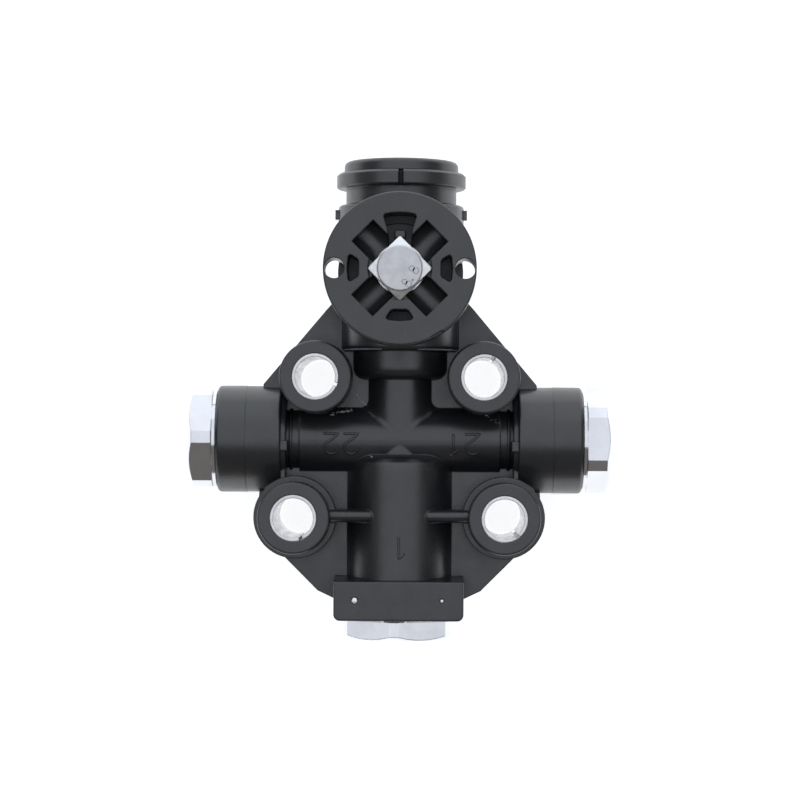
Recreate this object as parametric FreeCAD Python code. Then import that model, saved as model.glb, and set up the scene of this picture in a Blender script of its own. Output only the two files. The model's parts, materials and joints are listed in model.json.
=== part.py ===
import FreeCAD, Part
import math
import os

# Levelling valve of an air suspension: a moulded body with three push-in tube ports, an exhaust
# and a rotary lever hub that drives a sliding control spool.
# Frame, in millimetres: the valve lies on its back. Z = 0 is the rear mounting face, +Z is the
# front, +Y points to the exhaust and X = 0 is the symmetry plane. The origin is midway between the
# two upper mounting holes. Heights in Y are given from the side port axis, as such a valve is
# dimensioned, and save() moves every piece from there to the origin.

V = FreeCAD.Vector

# ---- Driving dimensions ----
AXIS_Z = 14.0              # height of every port axis above the mounting face
BOSS_LENGTH = 28.0         # mounting bosses and their metal sleeves
UPPER_BOSS = (17.1, 12.7)  # centre of an upper boss, X and Y
LOWER_BOSS = (21.4, -15.95)
BOSS_R = 7.35
BOSS_FOOT_R = 8.4          # thicker foot of the lower bosses
SLEEVE_R = 4.7             # rolled steel sleeve, outside
SLEEVE_BORE_R = 4.05       # takes an M8 bolt
SLEEVE_SLOT = 0.7
FIT_GAP = 0.05             # radial gap between pieces that do not move

WEB_LOW, WEB_TOP = 11.5, 16.5
TUBE_R = 7.0               # side-to-side tube
JUNCTION_FILLET = 2.0
LOWER_TUBE_R = 11.0
LOWER_TUBE_TOP = -3.1
UPPER_TUBE_R = 6.9
SHOULDER_R = 9.9           # wider stage between the upper tube and the barrel
BARREL_R = 12.3
NECK_R = 12.8              # round neck under the lever hub
NECK_TOP = 29.5

COLLAR_R = 10.95           # side port collars
COLLAR_IN, COLLAR_OUT = 24.3, 37.6
BLOCK_R = 13.2             # collar of the supply port
BLOCK_TOP_Y, BLOCK_END_Y = -28.7, -36.7
BLOCK_FRONT_Z = 27.5
PAD_PINS = [(-8.9, 0.65), (8.8, 0.4)]   # X and radius of the two metal pins in the front pad
PAD_PIN_Y, PAD_PIN_LENGTH = -32.6, 3.0
RIB_R, RIB_TOP = 1.3, 23.9
SOCKET_DEPTH = 12.5        # how far a fitting goes into its collar

SUPPLY_Z, SUPPLY_R = 10.4, 1.9      # supply passage, behind the port axes
DELIVERY_Z, DELIVERY_R = 17.0, 1.6  # delivery passage, in front of them
RISER_Z = 18.1                      # delivery passage beside the spool

CHAMBER_R = 8.6
CHAMBER_FLOOR_Y = 21.0
CARTRIDGE_TOP_Y = 29.6
SPOOL_BORE_R = 2.3
SPOOL_R = 2.26

HUB_Y = 34.0               # lever hub axis
HUB_R = 15.25
HUB_LOW, HUB_TOP = 30.0, 39.5
GROOVE_R = 3.0             # lever grooves take a 6 mm rod
GROOVE_REACH = 10.5
PIN_HOLE_R = 2.025         # locking pin holes
PIN_HOLE_X = 13.0
LOCK_NOTCH_Z = 21.5        # floor of the half-round notches under the pin holes
WELL_FLOOR = 36.5          # floor of the bolt's seat in the hub
BOLT_SEAT, BOLT_TOP = 37.2, 39.9    # underside and top of the bolt's square head
CRANK = 2.5                # eccentricity of the shaft's crank pin
CRANK_PIN_R = 1.5
SHAFT_END_Z = 18.2
JOURNAL_R = 5.0
INNER_JOURNAL_R = 4.2

EXHAUST_SEAT_Y = 41.0
EXHAUST_END_Y = 48.3
EXHAUST_BORE_R = 10.3
EXHAUST_COLLAR_R = 12.95

CHECK_CHAMBER_R = 7.0      # non-return valve chamber in the lower tube
CHECK_CHAMBER_END_Y = -8.5

SIDE_TUBE_R = 4.0          # 8 mm air tube
SUPPLY_TUBE_R = 6.0        # 12 mm air tube
TUBE_GAP = 0.06            # radial gap between a tube and its collet
FITTING_WALL = 3.9         # from the tube's outside to the outside of the fitting's barrel
FITTING_INNER_END = -12.0
# port: tube radius and, for the fitting's head, the size across flats, the radius of the turned
# corners, the radius and the end of the face against the collar, the end of the hexagon and its turn
# in degrees
PORTS = {
    "1": (SUPPLY_TUBE_R, (22.0, 12.2, 11.6, 0.3, 4.3, 34.3)),
    "21": (SIDE_TUBE_R, (20.0, 10.9, 10.05, 0.8, 5.7, 28.0)),
    "22": (SIDE_TUBE_R, (20.0, 10.9, 10.05, 0.8, 5.7, 1.9)),
}


# ---- Helpers ----
def cylinder(radius, start, end):
    """Solid cylinder between two points."""
    start, end = V(*start), V(*end)
    return Part.makeCylinder(radius, (end - start).Length, start, end - start)


def box(low, high):
    low, high = V(*low), V(*high)
    size = high - low
    return Part.makeBox(size.x, size.y, size.z, low)


def prism(points, z_low, z_high):
    """Extrude a closed XY outline along Z."""
    corners = [V(x, y, z_low) for x, y in points]
    face = Part.Face(Part.makePolygon(corners + corners[:1]))
    return face.extrude(V(0, 0, z_high - z_low))


def turned(profile):
    """Solid of revolution about local Z, from (height, radius) points of a closed outline."""
    corners = [V(radius, 0, height) for height, radius in profile]
    face = Part.Face(Part.makePolygon(corners + corners[:1]))
    return face.revolve(V(0, 0, 0), V(0, 0, 1), 360)


def ring(outer, inner, low, high):
    return turned([(low, inner), (low, outer), (high, outer), (high, inner)])


def corner(height, radius, size, end):
    """Rounded corner of a profile, at its low end (end = -1) or at its high end (end = 1)."""
    arc = [math.radians(15 * step) for step in range(7)]
    points = [(height - end * size * (1 - math.cos(angle)), radius - size * (1 - math.sin(angle)))
              for angle in arc]
    return points if end < 0 else points[::-1]


def o_ring(outer, section_r, height):
    """O-ring on local Z whose outside radius is given."""
    return Part.makeTorus(outer - section_r, section_r, V(0, 0, height), V(0, 0, 1))


def fused(shapes):
    result = shapes[0]
    for shape in shapes[1:]:
        result = result.fuse(shape)
    return result


def along_y(shape, y=0.0):
    """Stand a local-Z shape on the common Y axis of the ports, its zero at the given Y."""
    placed = shape.copy()
    placed.rotate(V(0, 0, 0), V(1, 0, 0), -90)
    placed.translate(V(0, y, AXIS_Z))
    return placed


def at_port(shape, port):
    """Put a local-Z fitting shape on a port, its zero at the collar face and +Z outwards."""
    placed = shape.copy()
    if port == "1":
        placed.rotate(V(0, 0, 0), V(1, 0, 0), 90)
        placed.translate(V(0, BLOCK_END_Y, AXIS_Z))
    else:
        side = 1 if port == "21" else -1
        placed.rotate(V(0, 0, 0), V(0, 1, 0), 90 * side)
        placed.translate(V(side * COLLAR_OUT, 0, AXIS_Z))
    return placed


def mirrored(shape):
    """The shape and its mirror image in the X = 0 plane."""
    return [shape, shape.mirror(V(0, 0, 0), V(1, 0, 0))]


def bosses():
    """Centres of the four mounting bosses, with the direction of each sleeve's slot."""
    ux, uy = UPPER_BOSS
    lx, ly = LOWER_BOSS
    return [(-ux, uy, -20), (ux, uy, 65), (-lx, ly, -69), (lx, ly, -53)]


def save(name, shape):
    """Write one node, moved from the side port axis to the origin between the upper holes."""
    solids = shape.Solids
    result = solids[0].copy() if len(solids) == 1 else Part.makeCompound(solids)
    result.translate(V(0, -UPPER_BOSS[1], 0))
    result.exportStep("parts/" + name + ".step")
    state = "valid" if result.isValid() else "not valid"
    print(name, len(solids), "solid(s)", round(result.Volume, 1), "mm3", state)


# ---- Moulded body ----
def web_plate():
    """Mid-plane web that ties the bosses, the tubes and the barrel together."""
    half = [(12.4, 29.9), (15.1, 26.9), (28.2, 11.3), (28.4, 0.0), (29.0, -12.0), (29.0, -18.6),
            (23.1, -24.9), (16.8, -31.2), (13.0, -33.0)]
    outline = half + [(-x, y) for x, y in reversed(half)]
    return prism(outline, WEB_LOW, WEB_TOP)


def boss_solids():
    solids = []
    for x, y, _ in bosses():
        boss = turned([(0, 0), (0, BOSS_R)] + corner(BOSS_LENGTH, BOSS_R, 0.45, 1) + [(BOSS_LENGTH, 0)])
        boss.translate(V(x, y, 0))
        solids.append(boss)
        if y < 0:
            solids.append(cylinder(BOSS_FOOT_R, (x, y, 3.5), (x, y, 22.0)))
    return solids


def side_collar():
    """Right-hand port collar with its inner step, locating tab and the recessed waist beside it."""
    parting = 31.5
    profile = [(0, 0), (0, 6.4), (22.1, 6.4), (22.1, 6.75), (22.6, 6.75), (22.6, 6.4), (23.3, 6.4),
               (23.3, 9.6), (COLLAR_IN, 9.9)]
    profile += corner(COLLAR_IN, COLLAR_R, 0.4, -1) + [(parting, COLLAR_R), (parting, COLLAR_R + 0.06)]
    profile += corner(COLLAR_OUT, COLLAR_R + 0.06, 0.9, 1) + [(COLLAR_OUT, 0)]
    collar = turned(profile)
    collar.rotate(V(0, 0, 0), V(0, 1, 0), 90)
    collar.translate(V(0, 0, AXIS_Z))
    tab = box((22.9, -2.3, AXIS_Z), (24.6, -0.3, AXIS_Z + 10.3))
    gusset = box((23.4, -9.0, WEB_TOP - 1.0), (24.3, -2.0, 21.5))
    return fused([collar, tab, gusset])


def tube_cross():
    """Side-to-side tube and upper tube, with a fillet where they meet."""
    across = cylinder(TUBE_R, (-20.6, 0, AXIS_Z), (20.6, 0, AXIS_Z))
    upper = cylinder(UPPER_TUBE_R, (0, -4.0, AXIS_Z), (0, 20.0, AXIS_Z))
    cross = across.fuse(upper)
    seam = [edge for edge in cross.Edges
            if isinstance(edge.Curve, Part.BSplineCurve) and edge.BoundBox.YMax > UPPER_TUBE_R / 2]
    return cross.makeFillet(JUNCTION_FILLET, seam)


def vertical_stages():
    """Check valve tube below the side-to-side tube and the shoulder under the barrel."""
    foot = BLOCK_TOP_Y - 1.0
    lower = turned([(foot, 0), (foot, LOWER_TUBE_R)] + corner(LOWER_TUBE_TOP, LOWER_TUBE_R, 3.0, 1)
                   + [(LOWER_TUBE_TOP, 0)])
    shoulder = turned([(12.4, 0)] + corner(12.4, SHOULDER_R, 2.4, -1) + [(20.0, SHOULDER_R), (20.0, 0)])
    return [along_y(lower), along_y(shoulder)]


def barrel():
    """Chamber barrel, the exhaust collar above it and the neck that carries the shaft."""
    profile = [(18.2, 0)] + corner(18.2, BARREL_R, 1.0, -1) + [(44.3, BARREL_R)]
    profile += corner(44.4, EXHAUST_COLLAR_R, 0.4, -1) + corner(EXHAUST_END_Y, EXHAUST_COLLAR_R, 0.6, 1)
    body = along_y(turned(profile + [(EXHAUST_END_Y, 0)]))
    neck = cylinder(NECK_R, (0, HUB_Y, AXIS_Z), (0, HUB_Y, NECK_TOP))
    return [body, neck]


def supply_block():
    """Round collar of the supply port with a square front pad; the pad's upper side has draft."""
    round_part = turned([(BLOCK_END_Y, 0)] + corner(BLOCK_END_Y, BLOCK_R, 1.3, -1)
                        + [(BLOCK_TOP_Y, BLOCK_R), (BLOCK_TOP_Y, 0)])
    half = BLOCK_R - 0.02
    right = [(x, y) for y, x in corner(BLOCK_END_Y, half, 1.3, -1)] + [(half, BLOCK_TOP_Y)]
    left = [(-x, y) for x, y in reversed(right)]
    pad = prism(left + right, AXIS_Z, BLOCK_FRONT_Z)
    pad = pad.makeFillet(0.3, [edge for edge in pad.Edges if edge.BoundBox.ZMin > BLOCK_FRONT_Z - 0.1])
    draft = 0.8
    slope = [V(-half, BLOCK_TOP_Y + draft, AXIS_Z), V(-half, BLOCK_TOP_Y, BLOCK_FRONT_Z - 0.3),
             V(-half, BLOCK_TOP_Y - 1.0, AXIS_Z)]
    wedge = Part.Face(Part.makePolygon(slope + slope[:1])).extrude(V(2 * half, 0, 0))
    return [along_y(round_part), pad, wedge]


def ribs():
    """Ribs from the lower bosses to the lower tube, with a rounded front edge and inner end."""
    inner_x, y = 6.2, -15.6
    crest_z = RIB_TOP - RIB_R
    rib = fused([box((inner_x, y - RIB_R, 4.4), (LOWER_BOSS[0], y + RIB_R, crest_z)),
                 cylinder(RIB_R, (inner_x, y, crest_z), (LOWER_BOSS[0], y, crest_z)),
                 Part.makeSphere(RIB_R, V(inner_x, y, crest_z))])
    return mirrored(rib)


def passages():
    """Sockets, chambers and air passages cut out of the body."""
    side_floor = COLLAR_OUT - SOCKET_DEPTH
    supply_floor = BLOCK_END_Y + SOCKET_DEPTH
    wall = FITTING_WALL + 2 * FIT_GAP
    cuts = mirrored(cylinder(SIDE_TUBE_R + wall, (side_floor, 0, AXIS_Z), (COLLAR_OUT + 1, 0, AXIS_Z)))
    cuts.append(cylinder(SUPPLY_TUBE_R + wall, (0, supply_floor, AXIS_Z), (0, BLOCK_END_Y - 1, AXIS_Z)))
    cuts.append(cylinder(CHECK_CHAMBER_R, (0, BLOCK_END_Y, AXIS_Z), (0, CHECK_CHAMBER_END_Y, AXIS_Z)))
    cuts.append(cylinder(SUPPLY_R, (0, CHECK_CHAMBER_END_Y - 1, SUPPLY_Z),
                         (0, CHAMBER_FLOOR_Y + 1, SUPPLY_Z)))
    cuts += mirrored(cylinder(DELIVERY_R, (0, 0, DELIVERY_Z), (side_floor + 1, 0, DELIVERY_Z)))
    cuts.append(cylinder(DELIVERY_R, (0, -0.5, RISER_Z), (0, CHAMBER_FLOOR_Y + 1, RISER_Z)))
    cuts.append(cylinder(CHAMBER_R, (0, CHAMBER_FLOOR_Y, AXIS_Z), (0, EXHAUST_END_Y, AXIS_Z)))
    cuts.append(cylinder(EXHAUST_BORE_R, (0, EXHAUST_SEAT_Y, AXIS_Z), (0, EXHAUST_END_Y + 1, AXIS_Z)))
    cuts.append(cylinder(INNER_JOURNAL_R + FIT_GAP, (0, HUB_Y, AXIS_Z), (0, HUB_Y, NECK_TOP)))
    cuts.append(cylinder(7.5, (0, HUB_Y, 25.0), (0, HUB_Y, NECK_TOP + 1)))
    dust_groove = ring(10.5, 8.6, 28.2, NECK_TOP + 1)
    dust_groove.translate(V(0, HUB_Y, 0))
    cuts.append(dust_groove)
    cuts.append(box((-14.5, 45.4, AXIS_Z - 1.7), (14.5, 47.5, AXIS_Z + 1.7)))
    for x in (-PIN_HOLE_X, PIN_HOLE_X):
        cuts.append(cylinder(PIN_HOLE_R + 0.1, (x, HUB_Y, LOCK_NOTCH_Z), (x, HUB_Y, NECK_TOP + 1)))
    for x, y, _ in bosses():
        cuts.append(cylinder(SLEEVE_R + 0.02, (x, y, -1), (x, y, BOSS_LENGTH + 1)))
    for x, radius in PAD_PINS:
        low, high = BLOCK_FRONT_Z - PAD_PIN_LENGTH, BLOCK_FRONT_Z + 1
        cuts.append(cylinder(radius + FIT_GAP, (x, PAD_PIN_Y, low), (x, PAD_PIN_Y, high)))
    return cuts


def housing():
    solids = [web_plate(), tube_cross()] + boss_solids() + mirrored(side_collar()) + vertical_stages()
    solids += barrel() + supply_block() + ribs()
    return fused(solids).cut(passages())


def mount_sleeves():
    """Four rolled steel sleeves, each with one open seam."""
    sleeves = []
    for x, y, seam_angle in bosses():
        sleeve = ring(SLEEVE_R, SLEEVE_BORE_R, 0, BOSS_LENGTH)
        seam = box((0, -SLEEVE_SLOT / 2, -1), (SLEEVE_R + 1, SLEEVE_SLOT / 2, BOSS_LENGTH + 1))
        seam.rotate(V(0, 0, 0), V(0, 0, 1), seam_angle)
        sleeve = sleeve.cut(seam)
        sleeve.translate(V(x, y, 0))
        sleeves.append(sleeve)
    return Part.makeCompound(sleeves)


def pad_pins():
    """Two small metal pins with domed heads, let into the front pad."""
    pins = []
    for x, radius in PAD_PINS:
        dome = 0.15
        pin = turned([(FIT_GAP, 0), (FIT_GAP, radius), (PAD_PIN_LENGTH, radius),
                      (PAD_PIN_LENGTH + dome * 0.7, radius * 0.7), (PAD_PIN_LENGTH + dome, 0)])
        pin.translate(V(x, PAD_PIN_Y, BLOCK_FRONT_Z - PAD_PIN_LENGTH))
        pins.append(pin)
    return Part.makeCompound(pins)


# ---- Lever hub, shaft and bolt ----
def on_hub(shape, angle=0):
    placed = shape.copy()
    placed.rotate(V(0, 0, 0), V(0, 0, 1), angle)
    placed.translate(V(0, HUB_Y, 0))
    return placed


def lever_grooves():
    """Four round-bottomed grooves, on the diagonals, that take the lever rod."""
    axis_height = HUB_TOP - 2.3
    groove = fused([cylinder(GROOVE_R, (0, 0, axis_height), (GROOVE_REACH, 0, axis_height)),
                    box((0, -GROOVE_R, axis_height), (GROOVE_REACH, GROOVE_R, HUB_TOP + 1))])
    return [on_hub(groove, 45 + 90 * turn) for turn in range(4)]


def hub_pockets():
    """Coring pockets between the grooves; the upper one is larger and opens into the centre."""
    half = [(8.1, 0.0), (8.1, 1.3), (8.35, 1.85), (9.6, 2.65), (10.0, 2.65), (10.3, 2.2), (10.5, 0.0)]
    outline = half + [(x, -y) for x, y in half[-2:0:-1]]
    small = prism(outline, 31.5, HUB_TOP + 1)
    half = [(4.0, 0.0), (4.0, 2.2), (7.6, 2.5), (9.6, 3.1), (10.3, 3.3), (10.75, 3.0), (11.0, 1.8),
            (11.1, 0.0)]
    outline = half + [(x, -y) for x, y in half[-2:0:-1]]
    outer_arc = prism(outline, 31.2, 34.0).cut(Part.makeCylinder(9.35, 5.0, V(0, 0, 30.0)))
    large = prism(outline, 33.2, HUB_TOP + 1).fuse(outer_arc)
    nib = prism([(6.3, -1.0), (7.7, -1.0), (7.7, 1.0), (6.3, 1.0)], 33.0, 36.2)
    pockets = [on_hub(small, angle) for angle in (0, 180, 270)]
    return pockets + [on_hub(large.cut(nib), 90)]


def drive_flats(clearance, low, high):
    """Double-D section that locks the hub to the shaft."""
    shaft = Part.makeCylinder(JOURNAL_R + clearance, high - low, V(0, 0, low))
    half = 4.0 + clearance
    return shaft.common(box((-JOURNAL_R - 1, -half, low), (JOURNAL_R + 1, half, high)))


def lever_hub():
    edge = 0.4
    disc = on_hub(turned([(HUB_LOW, 0)] + corner(HUB_LOW, HUB_R, edge, -1) + corner(HUB_TOP, HUB_R, edge, 1)
                         + [(HUB_TOP, 0)]))
    cuts = lever_grooves() + hub_pockets()
    cuts.append(on_hub(drive_flats(FIT_GAP, HUB_LOW - 1, 33.0)))
    cuts.append(on_hub(Part.makeCylinder(3.15, 10.0, V(0, 0, 30.0))))
    cuts.append(on_hub(Part.makeCylinder(6.35, 10.0, V(0, 0, WELL_FLOOR))))
    for x in (-PIN_HOLE_X, PIN_HOLE_X):
        cuts.append(cylinder(PIN_HOLE_R, (x, HUB_Y, HUB_LOW - 1), (x, HUB_Y, HUB_TOP + 1)))
    cuts.append(on_hub(box((HUB_R - 0.45, -1.3, HUB_TOP - 1.2), (HUB_R + 1, 1.3, HUB_TOP + 1)), -60))
    return disc.cut(cuts)


def clamp_bolt():
    """M6 square-head screw with a round collar under the head, across corners along X and Y."""
    across = 9.2
    corner_r = 6.33
    land_low = BOLT_TOP - 0.12
    crown_low = BOLT_TOP - 0.75
    head = Part.makeBox(across, across, BOLT_TOP - BOLT_SEAT, V(-across / 2, -across / 2, BOLT_SEAT))
    crown = turned([(BOLT_SEAT, 0), (BOLT_SEAT, corner_r), (crown_low, corner_r), (land_low, 4.45),
                    (BOLT_TOP, 4.3), (BOLT_TOP, 0)])
    head = head.common(crown)
    head.rotate(V(0, 0, 0), V(0, 0, 1), 45)
    collar_low = WELL_FLOOR + 0.1
    stem = turned([(23.2, 0), (23.2, 2.0), (23.8, 2.6), (collar_low, 2.6), (collar_low, 4.95),
                   (BOLT_SEAT, 4.95), (BOLT_SEAT, 0)])
    return on_hub(fused([stem, head]))


def rotor_shaft():
    """Shaft with a captive flange, two seal grooves, a double-D drive end and an offset crank pin."""
    inner_end = [(SHAFT_END_Z, 0), (SHAFT_END_Z, INNER_JOURNAL_R - 0.3),
                 (SHAFT_END_Z + 0.3, INNER_JOURNAL_R)]
    inner_groove = [(23.2, INNER_JOURNAL_R), (23.2, 3.4), (24.2, 3.4), (24.2, INNER_JOURNAL_R)]
    flange = [(25.1, INNER_JOURNAL_R), (25.1, 6.9), (26.4, 6.9), (26.4, JOURNAL_R)]
    outer_groove = [(27.5, JOURNAL_R), (27.5, 4.1), (28.7, 4.1), (28.7, JOURNAL_R)]
    body = turned(inner_end + inner_groove + flange + outer_groove + [(29.9, JOURNAL_R), (29.9, 0)])
    drive = drive_flats(0.0, 29.9, 32.9)
    crank_pin = Part.makeCylinder(CRANK_PIN_R, SHAFT_END_Z - 12.8 + 0.5, V(CRANK, 0, 12.8))
    thread = Part.makeCylinder(2.65, 12.0, V(0, 0, 22.6))
    return on_hub(fused([body, drive, crank_pin]).cut(thread))


def shaft_bush():
    return on_hub(ring(7.5 - FIT_GAP, JOURNAL_R + 0.05, 26.5, NECK_TOP - 0.1))


def shaft_seals():
    inner = o_ring(INNER_JOURNAL_R + 0.01, 0.38, 23.7)
    outer = o_ring(JOURNAL_R + 0.01, 0.43, 28.1)
    return Part.makeCompound([on_hub(inner), on_hub(outer)])


def dust_ring():
    """Rubber ring in the face of the neck that keeps dirt from the shaft."""
    return on_hub(turned([(28.25, 8.65), (28.25, 10.45), (29.2, 10.45), (29.9, 9.9), (29.9, 9.3),
                          (29.2, 8.65)]))


# ---- Control spool and its cartridge ----
def cartridge_gasket():
    gasket = along_y(ring(CHAMBER_R - FIT_GAP, 0.6, CHAMBER_FLOOR_Y + 0.02, CHAMBER_FLOOR_Y + 0.98))
    supply = cylinder(SUPPLY_R, (0, CHAMBER_FLOOR_Y - 1, SUPPLY_Z), (0, CHAMBER_FLOOR_Y + 2, SUPPLY_Z))
    delivery = cylinder(1.4, (0, CHAMBER_FLOOR_Y - 1, RISER_Z), (0, CHAMBER_FLOOR_Y + 2, RISER_Z))
    return gasket.cut([supply, delivery])


def valve_cartridge():
    """Cartridge with the spool bore, the supply port below it and the delivery gallery round it."""
    low = CHAMBER_FLOOR_Y + 1.0
    radius = CHAMBER_R - FIT_GAP
    body = along_y(turned([(low, 0), (low, radius - 0.4), (low + 0.4, radius), (24.0, radius), (24.0, 7.6),
                           (25.2, 7.6), (25.2, radius), (CARTRIDGE_TOP_Y, radius), (CARTRIDGE_TOP_Y, 0)]))
    bore = cylinder(SPOOL_BORE_R, (0, low - 1, AXIS_Z), (0, CARTRIDGE_TOP_Y + 1, AXIS_Z))
    supply = fused([cylinder(1.6, (0, low - 1, SUPPLY_Z + 0.2), (0, low + 1.8, SUPPLY_Z + 0.2)),
                    box((-1.2, low - 1, SUPPLY_Z + 0.2), (1.2, low + 1.8, AXIS_Z))])
    riser = cylinder(1.3, (0, low - 1, RISER_Z), (0, 27.7, RISER_Z))
    gallery = along_y(ring(3.0, 1.0, 26.1, 27.7))
    return body.cut([bore, supply, riser, gallery])


def control_spool():
    """Spool with guide lands, one control land and a yoke whose cross slot holds the crank pin."""
    profile = [(24.0, 0), (24.0, SPOOL_R), (25.0, SPOOL_R), (25.0, 1.4), (25.9, 1.4), (25.9, SPOOL_R),
               (26.5, SPOOL_R), (26.5, 1.6), (27.3, 1.6), (27.3, SPOOL_R), (27.9, SPOOL_R), (27.9, 1.4),
               (28.7, 1.4), (28.7, SPOOL_R), (32.2, SPOOL_R), (32.2, 0)]
    stem = along_y(turned(profile))
    yoke = box((-5.5, HUB_Y - 2.6, AXIS_Z - 2.5), (5.5, HUB_Y + 2.6, AXIS_Z + 3.2))
    slot_half = CRANK_PIN_R + 0.1
    slot = box((-0.4, HUB_Y - slot_half, AXIS_Z - 1.6), (4.8, HUB_Y + slot_half, AXIS_Z + 4))
    vent = fused([cylinder(0.8, (0, 28.3, AXIS_Z), (0, HUB_Y, AXIS_Z)),
                  cylinder(0.6, (-3, 28.3, AXIS_Z), (3, 28.3, AXIS_Z))])
    flats = [box((side * 2.0 - 1.0, 23.9, AXIS_Z - 3), (side * 2.0 + 1.0, 25.1, AXIS_Z + 3))
             for side in (-1.4, 1.4)]
    return fused([stem, yoke]).cut([slot, vent] + flats)


def spool_seal():
    return along_y(o_ring(SPOOL_R + 0.01, 0.32, 26.9))


def cartridge_o_ring():
    return along_y(o_ring(CHAMBER_R - 0.01, 0.45, 24.6))


# ---- Exhaust ----
def exhaust_insert():
    """Plug with the exhaust bore, a perforated deck under the flap and a slotted flange."""
    radius = EXHAUST_BORE_R - 2 * FIT_GAP
    shoulder = EXHAUST_END_Y + FIT_GAP
    inner_end = [(EXHAUST_SEAT_Y + 0.1, 6.5), (EXHAUST_SEAT_Y + 0.1, radius - 0.4), (41.5, radius)]
    seal_groove = [(42.2, radius), (42.2, 9.1), (43.6, 9.1), (43.6, radius)]
    clip_groove = [(45.4, radius), (45.4, 8.8), (47.5, 8.8), (47.5, radius)]
    flange = [(shoulder, radius), (shoulder, 11.4), (51.8, 11.4), (51.8, 13.0), (52.1, 13.35), (54.4, 13.35),
              (54.9, 12.85), (54.9, 10.4)]
    deck = [(52.6, 10.4), (52.6, 0), (50.6, 0), (50.6, 6.5)]
    plug = along_y(turned(inner_end + seal_groove + clip_groove + flange + deck))
    cuts = []
    for step in range(6):
        angle = math.radians(60 * step + 30)
        x, z = 4.3 * math.cos(angle), AXIS_Z + 4.3 * math.sin(angle)
        cuts.append(cylinder(1.4, (x, 50, z), (x, 53, z)))
    cuts.append(cylinder(0.9, (0, 50, AXIS_Z), (0, 53, AXIS_Z)))
    for angle in (0, 120, 240):
        slot = box((-0.5, 51.8, AXIS_Z + 9.5), (0.5, 56, AXIS_Z + 15))
        slot.rotate(V(0, 0, AXIS_Z), V(0, 1, 0), angle)
        cuts.append(slot)
    return plug.cut(cuts)


def exhaust_cap():
    """Cap that snaps into the flange; three notches in its skirt let the air out."""
    top = 57.4
    profile = [(53.7, 9.6), (53.7, 10.35), (54.95, 10.35), (54.95, 11.8)] + corner(top, 11.8, 1.1, 1)
    profile += [(top, 0), (top - 2.0, 0), (top - 2.0, 9.6)]
    cap = along_y(turned(profile))
    notches = []
    for angle in (0, 120, 240):
        notch = box((-1.0, 53, AXIS_Z + 9), (1.0, 54.95, AXIS_Z + 11))
        notch.rotate(V(0, 0, AXIS_Z), V(0, 1, 0), angle)
        notches.append(notch)
    return cap.cut(notches)


def exhaust_flap():
    """Rubber non-return flap with a retaining stem through the deck."""
    return along_y(turned([(49.6, 0), (49.6, 0.7), (50.2, 1.25), (50.5, 1.25), (50.5, 0.85), (52.65, 0.85),
                           (52.65, 7.2), (53.1, 7.4), (53.35, 2.0), (53.35, 0)]))


def exhaust_o_ring():
    return along_y(o_ring(EXHAUST_BORE_R - 0.02, 0.58, 42.9))


def retaining_clip():
    """Open spring clip in the insert's groove; its two ends reach out through the collar."""
    clip = along_y(ring(10.15, 9.0, 45.5, 47.4))
    ends = [box((9.5, 45.5, AXIS_Z - 1.5), (13.6, 47.4, AXIS_Z + 1.5)),
            box((-13.6, 45.5, AXIS_Z - 1.5), (-9.5, 47.4, AXIS_Z + 1.5))]
    gap = box((-4, 45, AXIS_Z), (4, 48, AXIS_Z + 12))
    return fused([clip] + ends).cut(gap)


# ---- Push-in fittings: heights are measured from the collar face, outwards ----
def hexagon(across_flats, corner_r, low, high, angle):
    """Hexagon bar with turned-down corners and a chamfered outer end."""
    reach = across_flats / math.sqrt(3)
    turns = [math.radians(60 * step + angle) for step in range(6)]
    points = [(reach * math.cos(turn), reach * math.sin(turn)) for turn in turns]
    chamfer = 1.5
    blank = turned([(low, 0), (low, corner_r - 0.1), (low + 0.1, corner_r),
                    (high - chamfer * math.tan(math.radians(30)), corner_r), (high, corner_r - chamfer),
                    (high, 0)])
    return prism(points, low, high).common(blank)


def fitting(tube_r, head):
    """Plated push-in fitting: hexagon, collar face, barrel with a seal groove, stepped tube bore."""
    across_flats, corner_r, face_r, face_end, end, angle = head
    barrel_r = tube_r + FITTING_WALL
    groove_r = barrel_r - 1.25
    low = FITTING_INNER_END
    outside = turned([(low, 0), (low, barrel_r - 0.5), (low + 0.5, barrel_r), (-3.6, barrel_r),
                      (-3.6, groove_r), (-1.8, groove_r), (-1.8, barrel_r), (FIT_GAP, barrel_r),
                      (FIT_GAP, face_r), (face_end, face_r), (face_end, 0)])
    bore = turned([(low - 1, 0), (low - 1, tube_r - 1.2), (-9.0, tube_r - 1.2), (-9.0, tube_r + 0.1),
                   (-6.0, tube_r + 0.1), (-6.0, tube_r + 1.6), (-3.45, tube_r + 1.6), (-3.45, tube_r + 1.85),
                   (end - 3.1, tube_r + 1.85), (end - 2.5, tube_r + 1.3), (end - 0.5, tube_r + 1.3),
                   (end, tube_r + 1.8), (end + 1, tube_r + 1.8), (end + 1, 0)])
    return outside.fuse(hexagon(across_flats, corner_r, face_end, end, angle)).cut(bore)


def collet(tube_r, end):
    """Release collet with four spring fingers that grip the tube, just below the fitting's face."""
    inner = tube_r + TUBE_GAP
    sleeve = turned([(-2.3, inner), (-2.3, tube_r + 1.5), (-1.9, tube_r + 1.75), (-0.9, tube_r + 1.75),
                     (0.0, tube_r + 1.22), (end - 0.4, tube_r + 1.22), (end - 0.15, tube_r + 1.0),
                     (end - 0.15, inner + 0.3), (end - 0.45, inner)])
    slots = []
    for turn in range(2):
        slot = box((-tube_r - 3, -0.4, -3), (tube_r + 3, 0.4, 1.4))
        slot.rotate(V(0, 0, 0), V(0, 0, 1), 45 + 90 * turn)
        slots.append(slot)
    return sleeve.cut(slots)


def tube_seal(tube_r):
    return o_ring(tube_r + 1.55, 0.82, -4.75)


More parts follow.
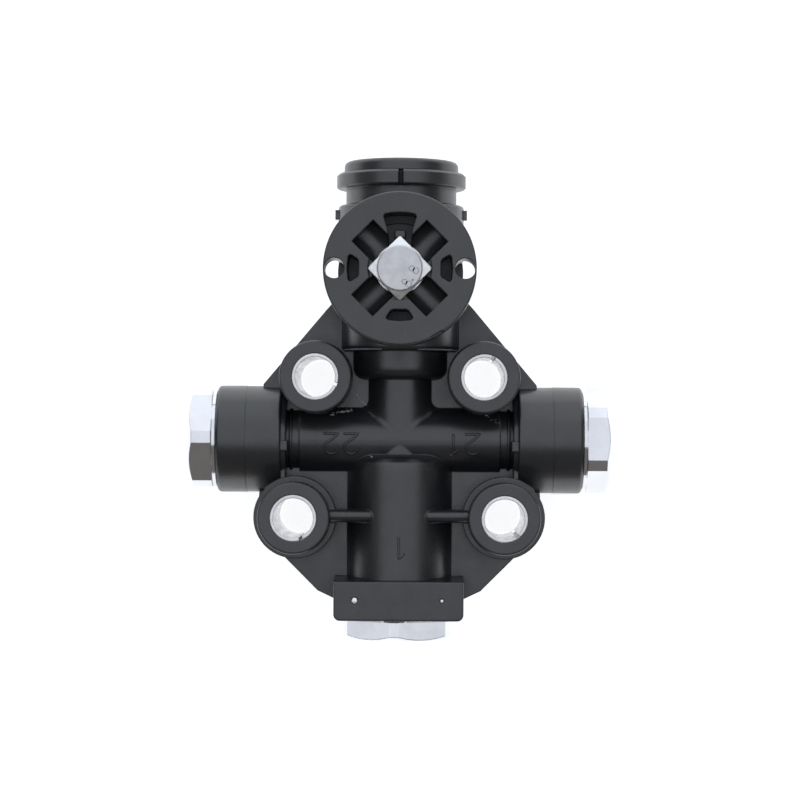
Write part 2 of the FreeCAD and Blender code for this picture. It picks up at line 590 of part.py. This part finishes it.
def fitting_seal(tube_r):
    return o_ring(tube_r + FITTING_WALL + FIT_GAP, 0.62, -2.7)


# ---- Inlet filter and non-return valve in the lower tube ----
def inlet_filter():
    """Sintered disc with a raised rim."""
    return along_y(turned([(-24.05, 0), (-24.05, 6.9), (-21.4, 6.9), (-21.4, 5.8), (-22.2, 5.4), (-22.2, 0)]))


def check_seat():
    return along_y(turned([(-21.3, 3.0), (-21.3, 6.93), (-18.9, 6.93), (-18.9, 4.2), (-18.3, 3.6),
                           (-18.3, 3.0)]))


def check_poppet():
    return along_y(turned([(-17.35, 0), (-17.35, 4.6), (-16.6, 4.6), (-16.6, 1.75), (-10.9, 1.75),
                           (-10.5, 1.4), (-10.5, 0)]))


def check_seal():
    return along_y(turned([(-18.25, 0), (-18.25, 4.4), (-17.38, 4.6), (-17.38, 0)]))


def spring_guide():
    """Spoked guide for the stem of the non-return valve; it also backs the spring."""
    guide = along_y(ring(6.93, 1.85, -12.6, -10.2))
    cuts = []
    for step in range(6):
        angle = math.radians(60 * step)
        x, z = 4.6 * math.cos(angle), AXIS_Z + 4.6 * math.sin(angle)
        cuts.append(cylinder(1.1, (x, -13, z), (x, -9, z)))
    return guide.cut(cuts)


def check_spring():
    """Helical spring round the stem, between the poppet and the guide."""
    wire_r = 0.22
    length = 3.45
    helix = Part.makeHelix(length / 3.5, length, 2.5)
    wire = Part.Wire(helix.Edges)
    section = Part.Wire(Part.makeCircle(wire_r, V(2.5, 0, 0), V(0, 1, 0)))
    coil = wire.makePipeShell([section], True, True)
    return along_y(coil, -16.35)


def restrictors():
    """Orifice plugs at the two ends of the delivery passage."""
    plug = cylinder(DELIVERY_R - 0.03, (22.2, 0, DELIVERY_Z), (25.0, 0, DELIVERY_Z))
    plug = plug.cut(cylinder(0.4, (21, 0, DELIVERY_Z), (26, 0, DELIVERY_Z)))
    return Part.makeCompound(mirrored(plug))


# ---- Write every node ----
os.makedirs("parts", exist_ok=True)

save("housing", housing())
save("mount_sleeves", mount_sleeves())
save("pad_pins", pad_pins())
save("lever_hub", lever_hub())
save("clamp_bolt", clamp_bolt())
save("rotor_shaft", rotor_shaft())
save("shaft_bush", shaft_bush())
save("shaft_seals", shaft_seals())
save("dust_ring", dust_ring())
save("cartridge_gasket", cartridge_gasket())
save("valve_cartridge", valve_cartridge())
save("cartridge_o_ring", cartridge_o_ring())
save("control_spool", control_spool())
save("spool_seal", spool_seal())
save("exhaust_insert", exhaust_insert())
save("exhaust_o_ring", exhaust_o_ring())
save("exhaust_flap", exhaust_flap())
save("exhaust_cap", exhaust_cap())
save("retaining_clip", retaining_clip())
save("inlet_filter", inlet_filter())
save("check_seat", check_seat())
save("check_poppet", check_poppet())
save("check_seal", check_seal())
save("check_spring", check_spring())
save("spring_guide", spring_guide())
save("restrictors", restrictors())

for port, (tube_r, head) in PORTS.items():
    end = head[4]
    save("fitting_" + port, at_port(fitting(tube_r, head), port))
    save("collet_" + port, at_port(collet(tube_r, end), port))
tube_seals = [at_port(tube_seal(tube_r), port) for port, (tube_r, _) in PORTS.items()]
save("tube_seals", Part.makeCompound(tube_seals))
fitting_seals = [at_port(fitting_seal(tube_r), port) for port, (tube_r, _) in PORTS.items()]
save("fitting_seals", Part.makeCompound(fitting_seals))
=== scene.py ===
import json
import math
import random

import bpy
from mathutils import Matrix, Vector


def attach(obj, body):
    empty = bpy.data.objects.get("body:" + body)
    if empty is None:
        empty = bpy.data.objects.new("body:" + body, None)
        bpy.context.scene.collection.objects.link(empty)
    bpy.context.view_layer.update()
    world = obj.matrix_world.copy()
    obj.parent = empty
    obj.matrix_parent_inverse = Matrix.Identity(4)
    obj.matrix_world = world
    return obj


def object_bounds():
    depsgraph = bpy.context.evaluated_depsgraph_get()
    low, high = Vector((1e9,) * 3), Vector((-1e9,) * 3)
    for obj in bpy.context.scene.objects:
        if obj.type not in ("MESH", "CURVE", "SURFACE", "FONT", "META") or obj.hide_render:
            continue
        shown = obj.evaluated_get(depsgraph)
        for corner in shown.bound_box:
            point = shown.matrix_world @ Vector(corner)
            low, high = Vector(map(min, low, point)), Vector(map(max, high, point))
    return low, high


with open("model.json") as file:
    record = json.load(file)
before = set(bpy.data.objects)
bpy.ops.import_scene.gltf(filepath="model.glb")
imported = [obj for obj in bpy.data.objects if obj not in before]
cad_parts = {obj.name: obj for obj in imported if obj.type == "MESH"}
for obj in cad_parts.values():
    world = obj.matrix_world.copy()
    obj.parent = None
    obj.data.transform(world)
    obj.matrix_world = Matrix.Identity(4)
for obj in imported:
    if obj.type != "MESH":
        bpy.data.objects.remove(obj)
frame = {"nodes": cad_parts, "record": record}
CAD_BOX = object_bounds()
NODES = frame["nodes"]
MM = 0.001

# Places on the valve, in millimetres from the origin between the upper mounting holes.
PORT_AXIS = (-12.7, 14.0)       # Y and Z of the side-to-side tube
SIDE_TUBE_R = 7.0
LOWER_TUBE_R = 11.0
HUB_Y = 21.3
WEB_TOP_Z = 16.5
BOLT_TOP_Z = 39.9
BOLT_LAND_R = 4.35              # round land on the bolt's head
# The next two values bound the painted shade, a lower specular level on the hub's pocket floors.
HUB_POCKET_Z = 33.3             # the hub's pocket floors lie below this height,
HUB_POCKET_R = 11.2             # within this distance of its axis
BARREL_CORNER = (12.08, 5.72)   # radius and Y of the rounded lower corner of the barrel
FLANGE_SLOT_X = 0.49            # half width, Y and Z of the web in the exhaust flange's slot
FLANGE_SLOT_Y = (39.2, 42.0)
FLANGE_SLOT_Z = (23.6, 25.7)

# Radius, in metres, of the edges that the shaders round off.
PLASTIC_EDGE = 0.0004
METAL_EDGE = 0.0003


# ---- Shader helpers ----
def new_material(name):
    material = bpy.data.materials.new(name)
    material.use_nodes = True
    tree = material.node_tree
    tree.nodes.clear()
    out = tree.nodes.new("ShaderNodeOutputMaterial")
    shader = tree.nodes.new("ShaderNodeBsdfPrincipled")
    tree.links.new(shader.outputs["BSDF"], out.inputs["Surface"])
    return material, tree, shader


def add(tree, kind, values=None, **properties):
    """New node with socket values and node properties."""
    node = tree.nodes.new(kind)
    for key, value in properties.items():
        setattr(node, key, value)
    for key, value in (values or {}).items():
        node.inputs[key].default_value = value
    return node


def noise(tree, scale, detail=3.0, roughness=0.5, stretch=(1, 1, 1)):
    """Noise in object space; scale is in features per metre."""
    place = add(tree, "ShaderNodeTexCoord")
    mapping = add(tree, "ShaderNodeMapping", {"Scale": stretch})
    texture = add(tree, "ShaderNodeTexNoise",
                  {"Scale": scale, "Detail": detail, "Roughness": roughness})
    tree.links.new(place.outputs["Object"], mapping.inputs["Vector"])
    tree.links.new(mapping.outputs["Vector"], texture.inputs["Vector"])
    return texture.outputs["Fac"]


def ramp(tree, source, stops):
    """Colour ramp from (position, grey or colour) stops."""
    node = add(tree, "ShaderNodeValToRGB")
    elements = node.color_ramp.elements
    while len(elements) < len(stops):
        elements.new(0.5)
    for element, (position, value) in zip(elements, stops):
        element.position = position
        element.color = (value, value, value, 1) if isinstance(value, float) else (*value, 1)
    tree.links.new(source, node.inputs["Fac"])
    return node.outputs["Color"]


def mixed(tree, factor, base, colour):
    """Blend a colour source towards a fixed colour."""
    node = add(tree, "ShaderNodeMix", data_type="RGBA")
    tree.links.new(factor, node.inputs["Factor"])
    tree.links.new(base, node.inputs[6])
    node.inputs[7].default_value = (*colour, 1)
    return node.outputs[2]


def mapped(tree, source, low, high):
    """0 to 1 as a value in metres goes from low to high millimetres."""
    node = add(tree, "ShaderNodeMapRange", {"From Min": low * MM, "From Max": high * MM})
    tree.links.new(source, node.inputs["Value"])
    return node.outputs["Result"]


def height_in_object(tree):
    place = add(tree, "ShaderNodeTexCoord")
    split = add(tree, "ShaderNodeSeparateXYZ")
    tree.links.new(place.outputs["Object"], split.inputs["Vector"])
    return split.outputs["Z"]


def distance_from_axis(tree, x, y):
    """Distance, in object space, from an upright axis through a point in millimetres."""
    place = add(tree, "ShaderNodeTexCoord")
    flat = add(tree, "ShaderNodeVectorMath", {1: (1, 1, 0)}, operation="MULTIPLY")
    distance = add(tree, "ShaderNodeVectorMath", {1: (x * MM, y * MM, 0)}, operation="DISTANCE")
    tree.links.new(place.outputs["Object"], flat.inputs[0])
    tree.links.new(flat.outputs["Vector"], distance.inputs[0])
    return distance.outputs["Value"]


def bump(tree, shader, heights, round_edges=0.0):
    """Stack bumps of (height source, depth in metres), over rounded edges where asked."""
    normal = None
    if round_edges:
        bevel = add(tree, "ShaderNodeBevel", {"Radius": round_edges}, samples=6)
        normal = bevel.outputs["Normal"]
    for source, depth in heights:
        node = add(tree, "ShaderNodeBump", {"Distance": depth, "Strength": 1.0})
        tree.links.new(source, node.inputs["Height"])
        if normal is not None:
            tree.links.new(normal, node.inputs["Normal"])
        normal = node.outputs["Normal"]
    tree.links.new(normal, shader.inputs["Normal"])


# ---- Materials ----
def pocket_shade_specular(tree, gloss):
    """Painted shade: the specular level falls on the floors of the hub's pockets, darkening them as if
    they were in shade.
    """
    above = mapped(tree, height_in_object(tree), HUB_POCKET_Z, HUB_POCKET_Z + 0.5)
    outside = mapped(tree, distance_from_axis(tree, 0, HUB_Y), HUB_POCKET_R, HUB_POCKET_R + 0.3)
    unshaded = add(tree, "ShaderNodeMath", operation="MAXIMUM")
    tree.links.new(above, unshaded.inputs[0])
    tree.links.new(outside, unshaded.inputs[1])
    return ramp(tree, unshaded.outputs["Value"], [(0.0, 0.42), (1.0, gloss)])


def moulded_nylon(name, tone=0.016, roughness=0.30, grain=1.0, gloss=0.95, painted_pocket_shade=False):
    """Black glass-filled nylon: fine moulded grain, cloudy flow marks, fibres and faint dust."""
    material, tree, shader = new_material(name)
    cloud = noise(tree, 90, 4.0, 0.6)
    base = ramp(tree, cloud, [(0.3, (tone * 0.78, tone * 0.88, tone * 1.0)),
                              (0.7, (tone * 1.02, tone * 1.2, tone * 1.45))])
    fibre = ramp(tree, noise(tree, 900, 2.0, 0.6, (1, 0.35, 1)), [(0.62, 0.0), (0.75, 0.35)])
    flecked = mixed(tree, fibre, base, (tone * 2.2, tone * 2.3, tone * 2.5))
    dust = ramp(tree, noise(tree, 1900, 1.0), [(0.77, 0.0), (0.82, 0.5)])
    tree.links.new(mixed(tree, dust, flecked, (0.11, 0.11, 0.115)), shader.inputs["Base Color"])
    rough = ramp(tree, noise(tree, 260, 4.0), [(0.25, roughness - 0.04), (0.75, roughness + 0.07)])
    tree.links.new(rough, shader.inputs["Roughness"])
    # Painted shade: the specular level falls on the hub's pocket floors.
    if painted_pocket_shade:
        tree.links.new(pocket_shade_specular(tree, gloss), shader.inputs["Specular IOR Level"])
    else:
        shader.inputs["Specular IOR Level"].default_value = gloss
    grains = [(noise(tree, 3500, 2.0), 0.000012 * grain), (noise(tree, 1100, 3.0), 0.00001 * grain)]
    bump(tree, shader, grains, PLASTIC_EDGE)
    return material


def plated(name, colour, roughness, brushed=(1, 1, 1), depth=0.000004):
    """Plated or ground metal with faint machining marks and slight tarnish."""
    material, tree, shader = new_material(name)
    shader.inputs["Metallic"].default_value = 1.0
    dull = tuple(c * 0.86 for c in colour)
    tarnish = ramp(tree, noise(tree, 160, 4.0), [(0.3, dull), (0.7, colour)])
    tree.links.new(tarnish, shader.inputs["Base Color"])
    rough = ramp(tree, noise(tree, 700, 3.0, 0.6, brushed),
                 [(0.3, roughness * 0.7), (0.7, roughness * 1.4)])
    tree.links.new(rough, shader.inputs["Roughness"])
    bump(tree, shader, [(noise(tree, 2400, 2.0, 0.5, brushed), depth)], METAL_EDGE)
    return material


def bolt_finish(name, dull, bright):
    """Zinc-plated bolt: a grainy land in the middle of the head and cleaner, brighter corners."""
    material, tree, shader = new_material(name)
    shader.inputs["Metallic"].default_value = 1.0
    corners = mapped(tree, distance_from_axis(tree, 0, HUB_Y), BOLT_LAND_R, BOLT_LAND_R + 0.4)
    grainy = ramp(tree, noise(tree, 500, 4.0), [(0.3, tuple(c * 0.86 for c in dull)), (0.7, dull)])
    tree.links.new(mixed(tree, corners, grainy, bright), shader.inputs["Base Color"])
    rough = ramp(tree, noise(tree, 700, 3.0), [(0.3, 0.22), (0.7, 0.36)])
    tree.links.new(rough, shader.inputs["Roughness"])
    bump(tree, shader, [(noise(tree, 2400, 2.0), 0.000012)], METAL_EDGE)
    return material


def rubber(name):
    """Nitrile rubber with a dry, finely mottled skin."""
    material, tree, shader = new_material(name)
    tone = ramp(tree, noise(tree, 300, 3.0),
                [(0.3, (0.016, 0.016, 0.017)), (0.7, (0.026, 0.026, 0.027))])
    tree.links.new(tone, shader.inputs["Base Color"])
    rough = ramp(tree, noise(tree, 900, 3.0), [(0.3, 0.5), (0.7, 0.68)])
    tree.links.new(rough, shader.inputs["Roughness"])
    bump(tree, shader, [(noise(tree, 2600, 2.0), 0.00001)])
    return material


def make_materials():
    """Materials by the slot they fill."""
    return {
        "moulded_nylon": moulded_nylon("moulded_nylon"),
        # hub_nylon carries painted shade on its pocket floors.
        "hub_nylon": moulded_nylon("hub_nylon", 0.017, 0.32, painted_pocket_shade=True),
        "cap_plastic": moulded_nylon("cap_plastic", 0.018, 0.33),
        "collet_plastic": moulded_nylon("collet_plastic", 0.014, 0.25, 0.4),
        "seal_rubber": rubber("seal_rubber"),
        "sleeve_steel": plated("sleeve_steel", (0.78, 0.78, 0.79), 0.28, (1, 1, 0.1)),
        "bolt_steel": bolt_finish("bolt_steel", (0.60, 0.60, 0.62), (0.90, 0.92, 0.93)),
        "shaft_steel": plated("shaft_steel", (0.62, 0.62, 0.64), 0.25, (1, 1, 8)),
        "nickel_plate": plated("nickel_plate", (0.83, 0.84, 0.87), 0.12),
        "spool_alloy": plated("spool_alloy", (0.75, 0.76, 0.78), 0.3, (1, 8, 1)),
        "brass": plated("brass", (0.80, 0.62, 0.32), 0.28, (1, 8, 1)),
        "sintered_bronze": plated("sintered_bronze", (0.46, 0.33, 0.20), 0.6, (1, 1, 1), 0.00006),
        "spring_steel": plated("spring_steel", (0.45, 0.45, 0.47), 0.35),
        "black_steel": plated("black_steel", (0.12, 0.12, 0.125), 0.38),
    }


def dress_nodes(materials):
    slot_of = {part["node"]: part["material_slot"] for part in frame["record"]["subparts"]}
    for name, node in NODES.items():
        node.data.materials.clear()
        node.data.materials.append(materials[slot_of[name]])


# ---- Raised numbers ----
# Strokes of the characters, for a height of 1.
TWO = [(0.36 + 0.34 * math.cos(math.radians(a)), 0.66 + 0.34 * math.sin(math.radians(a)))
       for a in range(165, -45, -15)] + [(0.3, 0.26), (0.02, 0.0), (0.38, 0.0), (0.74, 0.0)]
ONE = [(0.08, 0.76), (0.34, 1.0), (0.34, 0.5), (0.34, 0.0)]


def loop(cx, cy, rx, ry):
    """Closed ellipse."""
    steps = [math.radians(20 * step) for step in range(19)]
    return [(cx + rx * math.cos(t), cy + ry * math.sin(t)) for t in steps]


GLYPHS = {"1": [ONE], "2": [TWO], "8": [loop(0.36, 0.75, 0.26, 0.25), loop(0.36, 0.25, 0.32, 0.27)],
          ".": [loop(0.12, 0.08, 0.04, 0.04)]}


def add_mesh(name, vertices, faces, body, material):
    """Piece on a CAD body, from vertices in millimetres."""
    mesh = bpy.data.meshes.new(name)
    mesh.from_pydata([(x * MM, y * MM, z * MM) for x, y, z in vertices], [], faces)
    mesh.validate()
    mesh.update()
    piece = bpy.data.objects.new(name, mesh)
    bpy.context.scene.collection.objects.link(piece)
    mesh.materials.append(material)
    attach(piece, body)
    return piece


BURIED = -0.15      # height of a stroke's foot, under the surface that it stands on


def refined(points, spacing):
    """The polyline with extra points, so that it can follow a curved surface."""
    fine = [points[0]]
    for (x0, y0), (x1, y1) in zip(points, points[1:]):
        count = max(1, round(math.dist((x0, y0), (x1, y1)) / spacing))
        fine += [(x0 + (x1 - x0) * i / count, y0 + (y1 - y0) * i / count)
                 for i in range(1, count + 1)]
    return fine


def ribbon(points, width, height, lift, vertices, faces):
    """Raised stroke with sloping sides along XY points; lift(x, y, h) puts it on the surface."""
    first = len(vertices)
    for index, (x, y) in enumerate(points):
        before, after = points[max(index - 1, 0)], points[min(index + 1, len(points) - 1)]
        length = math.dist(before, after) or 1.0
        nx, ny = -(after[1] - before[1]) / length, (after[0] - before[0]) / length
        section = ((-0.5, BURIED), (-0.32, height), (0.32, height), (0.5, BURIED))
        for side, level in section:
            vertices.append(lift(x + nx * side * width, y + ny * side * width, level))
    for index in range(len(points) - 1):
        base = first + 4 * index
        for step in range(3):
            faces.append((base + step, base + step + 1, base + step + 5, base + step + 4))
    last = first + 4 * (len(points) - 1)
    faces.append((first + 3, first + 2, first + 1, first))
    faces.append((last, last + 1, last + 2, last + 3))


def add_number(name, text, place, size, advance, turn, stroke, lift, body, material):
    """Raised text from the lower left corner `place`, read in direction `turn`.

    `stroke` is the width and height of its lines, and `lift` puts it on the surface."""
    width, height = stroke
    vertices, faces = [], []
    cos, sin = math.cos(turn), math.sin(turn)
    for position, character in enumerate(text):
        for line in GLYPHS[character]:
            points = []
            for x, y in line:
                u, v = position * advance + x * size, y * size
                points.append((place[0] + u * cos - v * sin, place[1] + u * sin + v * cos))
            ribbon(refined(points, 0.35), width, height, lift, vertices, faces)
    return add_mesh(name, vertices, faces, body, material)


def on_side_tube(x, y, height):
    """Point on the side-to-side tube; Y is measured round its surface."""
    radius = SIDE_TUBE_R + height
    angle = (y - PORT_AXIS[0]) / SIDE_TUBE_R
    return x, PORT_AXIS[0] + radius * math.sin(angle), PORT_AXIS[1] + radius * math.cos(angle)


def on_lower_tube(x, y, height):
    """Point on the tube of the supply port; X is measured round its surface."""
    radius = LOWER_TUBE_R + height
    angle = x / LOWER_TUBE_R
    return radius * math.sin(angle), y, PORT_AXIS[1] + radius * math.cos(angle)


def on_bolt(x, y, height):
    return x, y, BOLT_TOP_Z + height


def add_numbers(materials):
    nylon, steel = materials["moulded_nylon"], materials["bolt_steel"]
    for name, text, x in (("number_22", "22", -8.4), ("number_21", "21", 16.5)):
        add_number(name, text, (x, -11.5), 4.2, 4.1, math.pi, (0.62, 0.28), on_side_tube,
                   "valve_body", nylon)
    add_number("number_1", "1", (1.5, -32.4), 4.5, 4.1, math.pi, (0.62, 0.22), on_lower_tube,
               "valve_body", nylon)
    add_number("strength_mark", "8.8", (1.9, HUB_Y - 3.9), 1.9, 1.5, math.radians(62), (0.36, 0.07),
               on_bolt, "lever_hub", steel)


# ---- Moulding flash and chips ----
def pale_flash():
    """Whitened nylon: torn flash and scratches."""
    material, tree, shader = new_material("pale_flash")
    tone = ramp(tree, noise(tree, 2500, 3.0),
                [(0.35, (0.16, 0.16, 0.16)), (0.65, (0.62, 0.62, 0.60))])
    tree.links.new(tone, shader.inputs["Base Color"])
    rough = ramp(tree, noise(tree, 3000, 2.0), [(0.3, 0.3), (0.7, 0.5)])
    tree.links.new(rough, shader.inputs["Roughness"])
    bump(tree, shader, [(noise(tree, 6000, 2.0), 0.00002)])
    return material


def tube_point(x, y, height):
    """Point above the side-to-side tube, from its plain X and Y."""
    rise = math.sqrt(SIDE_TUBE_R ** 2 - (y - PORT_AXIS[0]) ** 2)
    return x, y, PORT_AXIS[1] + rise + height


def on_web(x, y, height):
    return x, y, WEB_TOP_Z + height


def add_slivers(name, path, count, size, seed, material):
    """Small torn slivers strung along a path of XYZ points in millimetres."""
    chance = random.Random(seed)
    vertices, faces = [], []
    for _ in range(count):
        along = chance.random() * (len(path) - 1)
        index = min(int(along), len(path) - 2)
        start, end = Vector(path[index]), Vector(path[index + 1])
        centre = start.lerp(end, along - index)
        centre += Vector((chance.uniform(-0.25, 0.25), chance.uniform(-0.25, 0.25), 0))
        reach = size * chance.uniform(0.4, 1.0)
        direction = chance.uniform(0, math.tau)
        long = Vector((math.cos(direction), math.sin(direction), chance.uniform(-0.3, 0.3))) * reach
        wide = Vector((-math.sin(direction), math.cos(direction), 0.2)) * reach
        wide *= chance.uniform(0.2, 0.45)
        rise = Vector((0, 0, reach * 0.35))
        base = len(vertices)
        for offset in (-long, -wide, long, wide, rise, -rise):
            vertices.append(tuple(centre + offset))
        for i in range(4):
            faces.append((base + i, base + (i + 1) % 4, base + 4))
            faces.append((base + (i + 1) % 4, base + i, base + 5))
    add_mesh(name, vertices, faces, "valve_body", material)


def add_flash(material):
    """Torn flash beside the upper bosses, chips on two edges and a scratch on the web."""
    left = ((-14.2, -7.7), (-12.6, -7.1), (-11.0, -7.0), (-9.8, -6.8))
    right = ((17.1, -7.1), (18.6, -8.3), (21.0, -9.4))
    edge = ((10.7, -15.5), (10.75, -16.3))
    for name, points, height, count, size, seed in (("flash_left", left, 0.12, 16, 0.55, 3),
                                                    ("flash_right", right, 0.12, 12, 0.45, 8),
                                                    ("flash_edge", edge, 0.08, 6, 0.3, 2)):
        path = [tube_point(x, y, height) for x, y in points]
        add_slivers(name, path, count, size, seed, material)
    shoulder = [(-6.1, -16.0, 23.15), (-5.6, -16.1, 23.3)]
    add_slivers("flash_shoulder", shoulder, 5, 0.32, 6, material)
    vertices, faces = [], []
    scratch = [(-8.95, -3.4), (-8.5, -4.2), (-7.5, -5.1), (-6.9, -5.55)]
    ribbon(refined(scratch, 0.3), 0.2, 0.08, on_web, vertices, faces)
    add_mesh("scratch", vertices, faces, "valve_body", material)
    scratch_end = [on_web(-7.0, -5.6, 0.1), on_web(-5.9, -5.6, 0.1)]
    add_slivers("scratch_end", scratch_end, 4, 0.22, 4, material)


def add_parting_bead(material):
    """Fine bead that the mould leaves on both sides of the barrel's lower corner; the light grey
    material it is given is a painted highlight.
    """
    radius, corner_y = BARREL_CORNER
    bead, steps = 0.16, 28
    from_front, sweep = 17, 56      # degrees
    section = ((0, bead), (bead, 0), (0, -bead), (-bead, 0))
    vertices, faces = [], []
    for side in (-1, 1):
        first = len(vertices)
        for step in range(steps + 1):
            turn = side * math.radians(from_front + sweep * step / steps)
            for along, out in section:
                reach = radius + out
                vertices.append((reach * math.sin(turn), corner_y + along,
                                 PORT_AXIS[1] + reach * math.cos(turn)))
        for step in range(steps):
            base = first + 4 * step
            for i in range(4):
                faces.append((base + i, base + (i + 1) % 4, base + 4 + (i + 1) % 4, base + 4 + i))
        faces.append((first, first + 1, first + 2, first + 3))
        last = first + 4 * steps
        faces.append((last + 3, last + 2, last + 1, last))
    add_mesh("parting_bead", vertices, faces, "valve_body", material)


def add_slot_web(material):
    """Thin web that closes the slot of the exhaust flange just below its rim."""
    corners = [(x, y, z) for z in FLANGE_SLOT_Z for y in FLANGE_SLOT_Y
               for x in (-FLANGE_SLOT_X, FLANGE_SLOT_X)]
    faces = [(0, 2, 3, 1), (4, 5, 7, 6), (0, 1, 5, 4), (1, 3, 7, 5), (3, 2, 6, 7), (2, 0, 4, 6)]
    add_mesh("slot_web", corners, faces, "valve_body", material)


# ---- Stage ----
FLOOR_HALF = 6.0
FLOOR_GAP = 0.0001      # keeps the floor clear of the valve's rear face
COOL_WHITE = (0.88, 0.935, 1.02)


def add_floor():
    """Evenly lit white table, in the manner of a light table."""
    mesh = bpy.data.meshes.new("floor")
    half = FLOOR_HALF
    corners = [(-half, -half, 0), (half, -half, 0), (half, half, 0), (-half, half, 0)]
    mesh.from_pydata(corners, [], [(0, 1, 2, 3)])
    floor = bpy.data.objects.new("floor", mesh)
    bpy.context.scene.collection.objects.link(floor)
    floor.location.z = CAD_BOX[0][2] - FLOOR_GAP
    material, tree, shader = new_material("pale_floor")
    tone = ramp(tree, noise(tree, 6, 2.0), [(0.3, 0.78), (0.7, 0.82)])
    tree.links.new(tone, shader.inputs["Base Color"])
    shader.inputs["Roughness"].default_value = 0.7
    shader.inputs["Emission Color"].default_value = (0.97, 0.985, 1.0, 1)
    shader.inputs["Emission Strength"].default_value = 0.85
    floor.data.materials.append(material)


def add_softbox(name, place, target, size, radiance, only=()):
    """Rectangular light with a given brightness; `only` names the nodes it lights, if not all."""
    data = bpy.data.lights.new(name, "AREA")
    data.shape = "RECTANGLE"
    data.size, data.size_y = size
    data.energy = radiance * math.pi * size[0] * size[1]
    data.color = COOL_WHITE
    light = bpy.data.objects.new(name, data)
    bpy.context.scene.collection.objects.link(light)
    light.location = place
    light.rotation_euler = (Vector(target) - Vector(place)).to_track_quat("-Z", "Y").to_euler()
    if only:
        lit = bpy.data.collections.new(name + "_receivers")
        for node in only:
            lit.objects.link(NODES[node])
        light.light_linking.receiver_collection = lit


def add_lights():
    """Wide softbox over the valve, one behind it, and strips that light the supply fitting's flats."""
    add_softbox("overhead", (0, 0.32, 0.90), (0, 0.32, 0), (1.70, 1.15), 0.82)
    add_softbox("back", (0, 0.90, 0.48), (0, 0, 0.48), (1.70, 0.84), 1.03)
    for side in (-1, 1):
        add_softbox("side_strip", (side * 1.0, 0, 0.55), (0, 0, PORT_AXIS[1] * MM), (0.5, 1.2), 0.75,
                    ("fitting_1",))


def add_world():
    """Dim surroundings, for the sides that no softbox reaches."""
    world = bpy.data.worlds.new("studio")
    bpy.context.scene.world = world
    world.use_nodes = True
    background = world.node_tree.nodes["Background"]
    background.inputs["Color"].default_value = (0.165, 0.155, 0.148, 1)
    background.inputs["Strength"].default_value = 1.0


# The camera looks straight at the front, from 0.54 m above the port axes, slightly right of centre.
CAMERA_XY = (0.00487, -0.00976)
CAMERA_HEIGHT = 0.554
CAMERA_ROLL = math.radians(0.33)
CAMERA_SHIFT = (-0.0294, 0.0319)
LENS_MM, SENSOR_MM = 117.2, 36.0


def add_camera():
    data = bpy.data.cameras.new("camera")
    data.lens = LENS_MM
    data.sensor_width = SENSOR_MM
    data.clip_start = 0.01
    data.shift_x, data.shift_y = CAMERA_SHIFT
    camera = bpy.data.objects.new("camera", data)
    bpy.context.scene.collection.objects.link(camera)
    place = Matrix.Translation((*CAMERA_XY, CAMERA_HEIGHT))
    camera.matrix_world = place @ Matrix.Rotation(CAMERA_ROLL, 4, "Z")
    bpy.context.scene.camera = camera


add_camera()
bpy.context.scene.view_settings.view_transform = "Standard"
materials = make_materials()
dress_nodes(materials)
add_numbers(materials)
add_flash(pale_flash())
add_slot_web(moulded_nylon("slot_nylon", 0.012, 0.5, gloss=0.3))
# The bead is real, but its light grey tone (0.25) is a painted highlight along the barrel's lower
# corner.
add_parting_bead(moulded_nylon("parting_bead_painted_highlight", 0.25, 0.25))
add_floor()
add_lights()
add_world()
